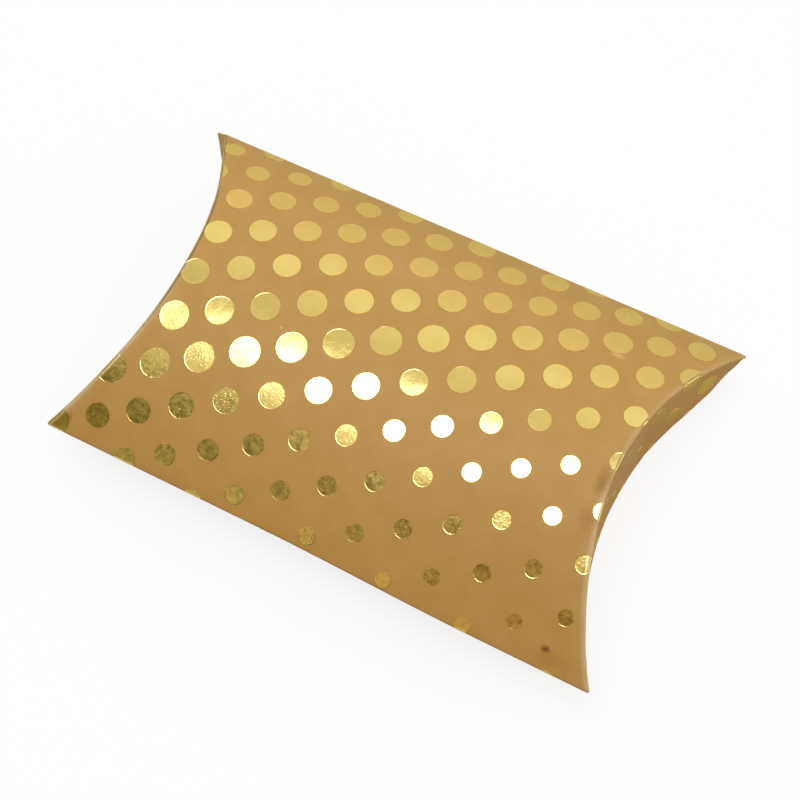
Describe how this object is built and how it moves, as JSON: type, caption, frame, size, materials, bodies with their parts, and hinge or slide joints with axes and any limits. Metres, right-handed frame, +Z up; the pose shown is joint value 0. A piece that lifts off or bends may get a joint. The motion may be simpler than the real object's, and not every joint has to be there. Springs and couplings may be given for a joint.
{
  "type": "pillow box",
  "caption": "Pillow-shaped gift carton folded from kraft board with gold foil dots, closed at its ends by curved flaps that swing out to open it.",
  "frame": {"origin": "on the surface that the box lies on, below the middle of its length and width", "axes": "+X along the box to its right end, +Y across it to the glued side fold, +Z up"},
  "size_m": [0.1468, 0.092, 0.0317],
  "materials": {
    "kraft_board": "matte",
    "dry_glue": "satin",
    "gold_foil": "polished"
  },
  "bodies": {
    "carton": {"top_panel": "kraft_board", "bottom_panel": "kraft_board", "glue_flap": "kraft_board", "seam_glue": "dry_glue"},
    "right_outer": {"right_outer_flap": "kraft_board"},
    "right_inner": {"right_inner_flap": "kraft_board"},
    "left_outer": {"left_outer_flap": "kraft_board"},
    "left_inner": {"left_inner_flap": "kraft_board"}
  },
  "joints": [
    {"name": "right_outer_swing", "type": "hinge", "parent": "carton", "child": "right_outer", "pos_m": [0.059, 0, 0.03167], "axis": [0, -1, 0], "range_deg": [0, 90]},
    {"name": "right_inner_swing", "type": "hinge", "parent": "carton", "child": "right_inner", "pos_m": [0.0583, 0, 0], "axis": [0, 1, 0], "range_deg": [0, 90]},
    {"name": "left_outer_swing", "type": "hinge", "parent": "carton", "child": "left_outer", "pos_m": [-0.059, 0, 0.03167], "axis": [0, 1, 0], "range_deg": [0, 90]},
    {"name": "left_inner_swing", "type": "hinge", "parent": "carton", "child": "left_inner", "pos_m": [-0.0583, 0, 0], "axis": [0, -1, 0], "range_deg": [0, 90]}
  ],
  "couplings": [
    {"joint": "right_inner_swing", "follows": "right_outer_swing", "ratio": 1},
    {"joint": "left_inner_swing", "follows": "left_outer_swing", "ratio": 1}
  ]
}
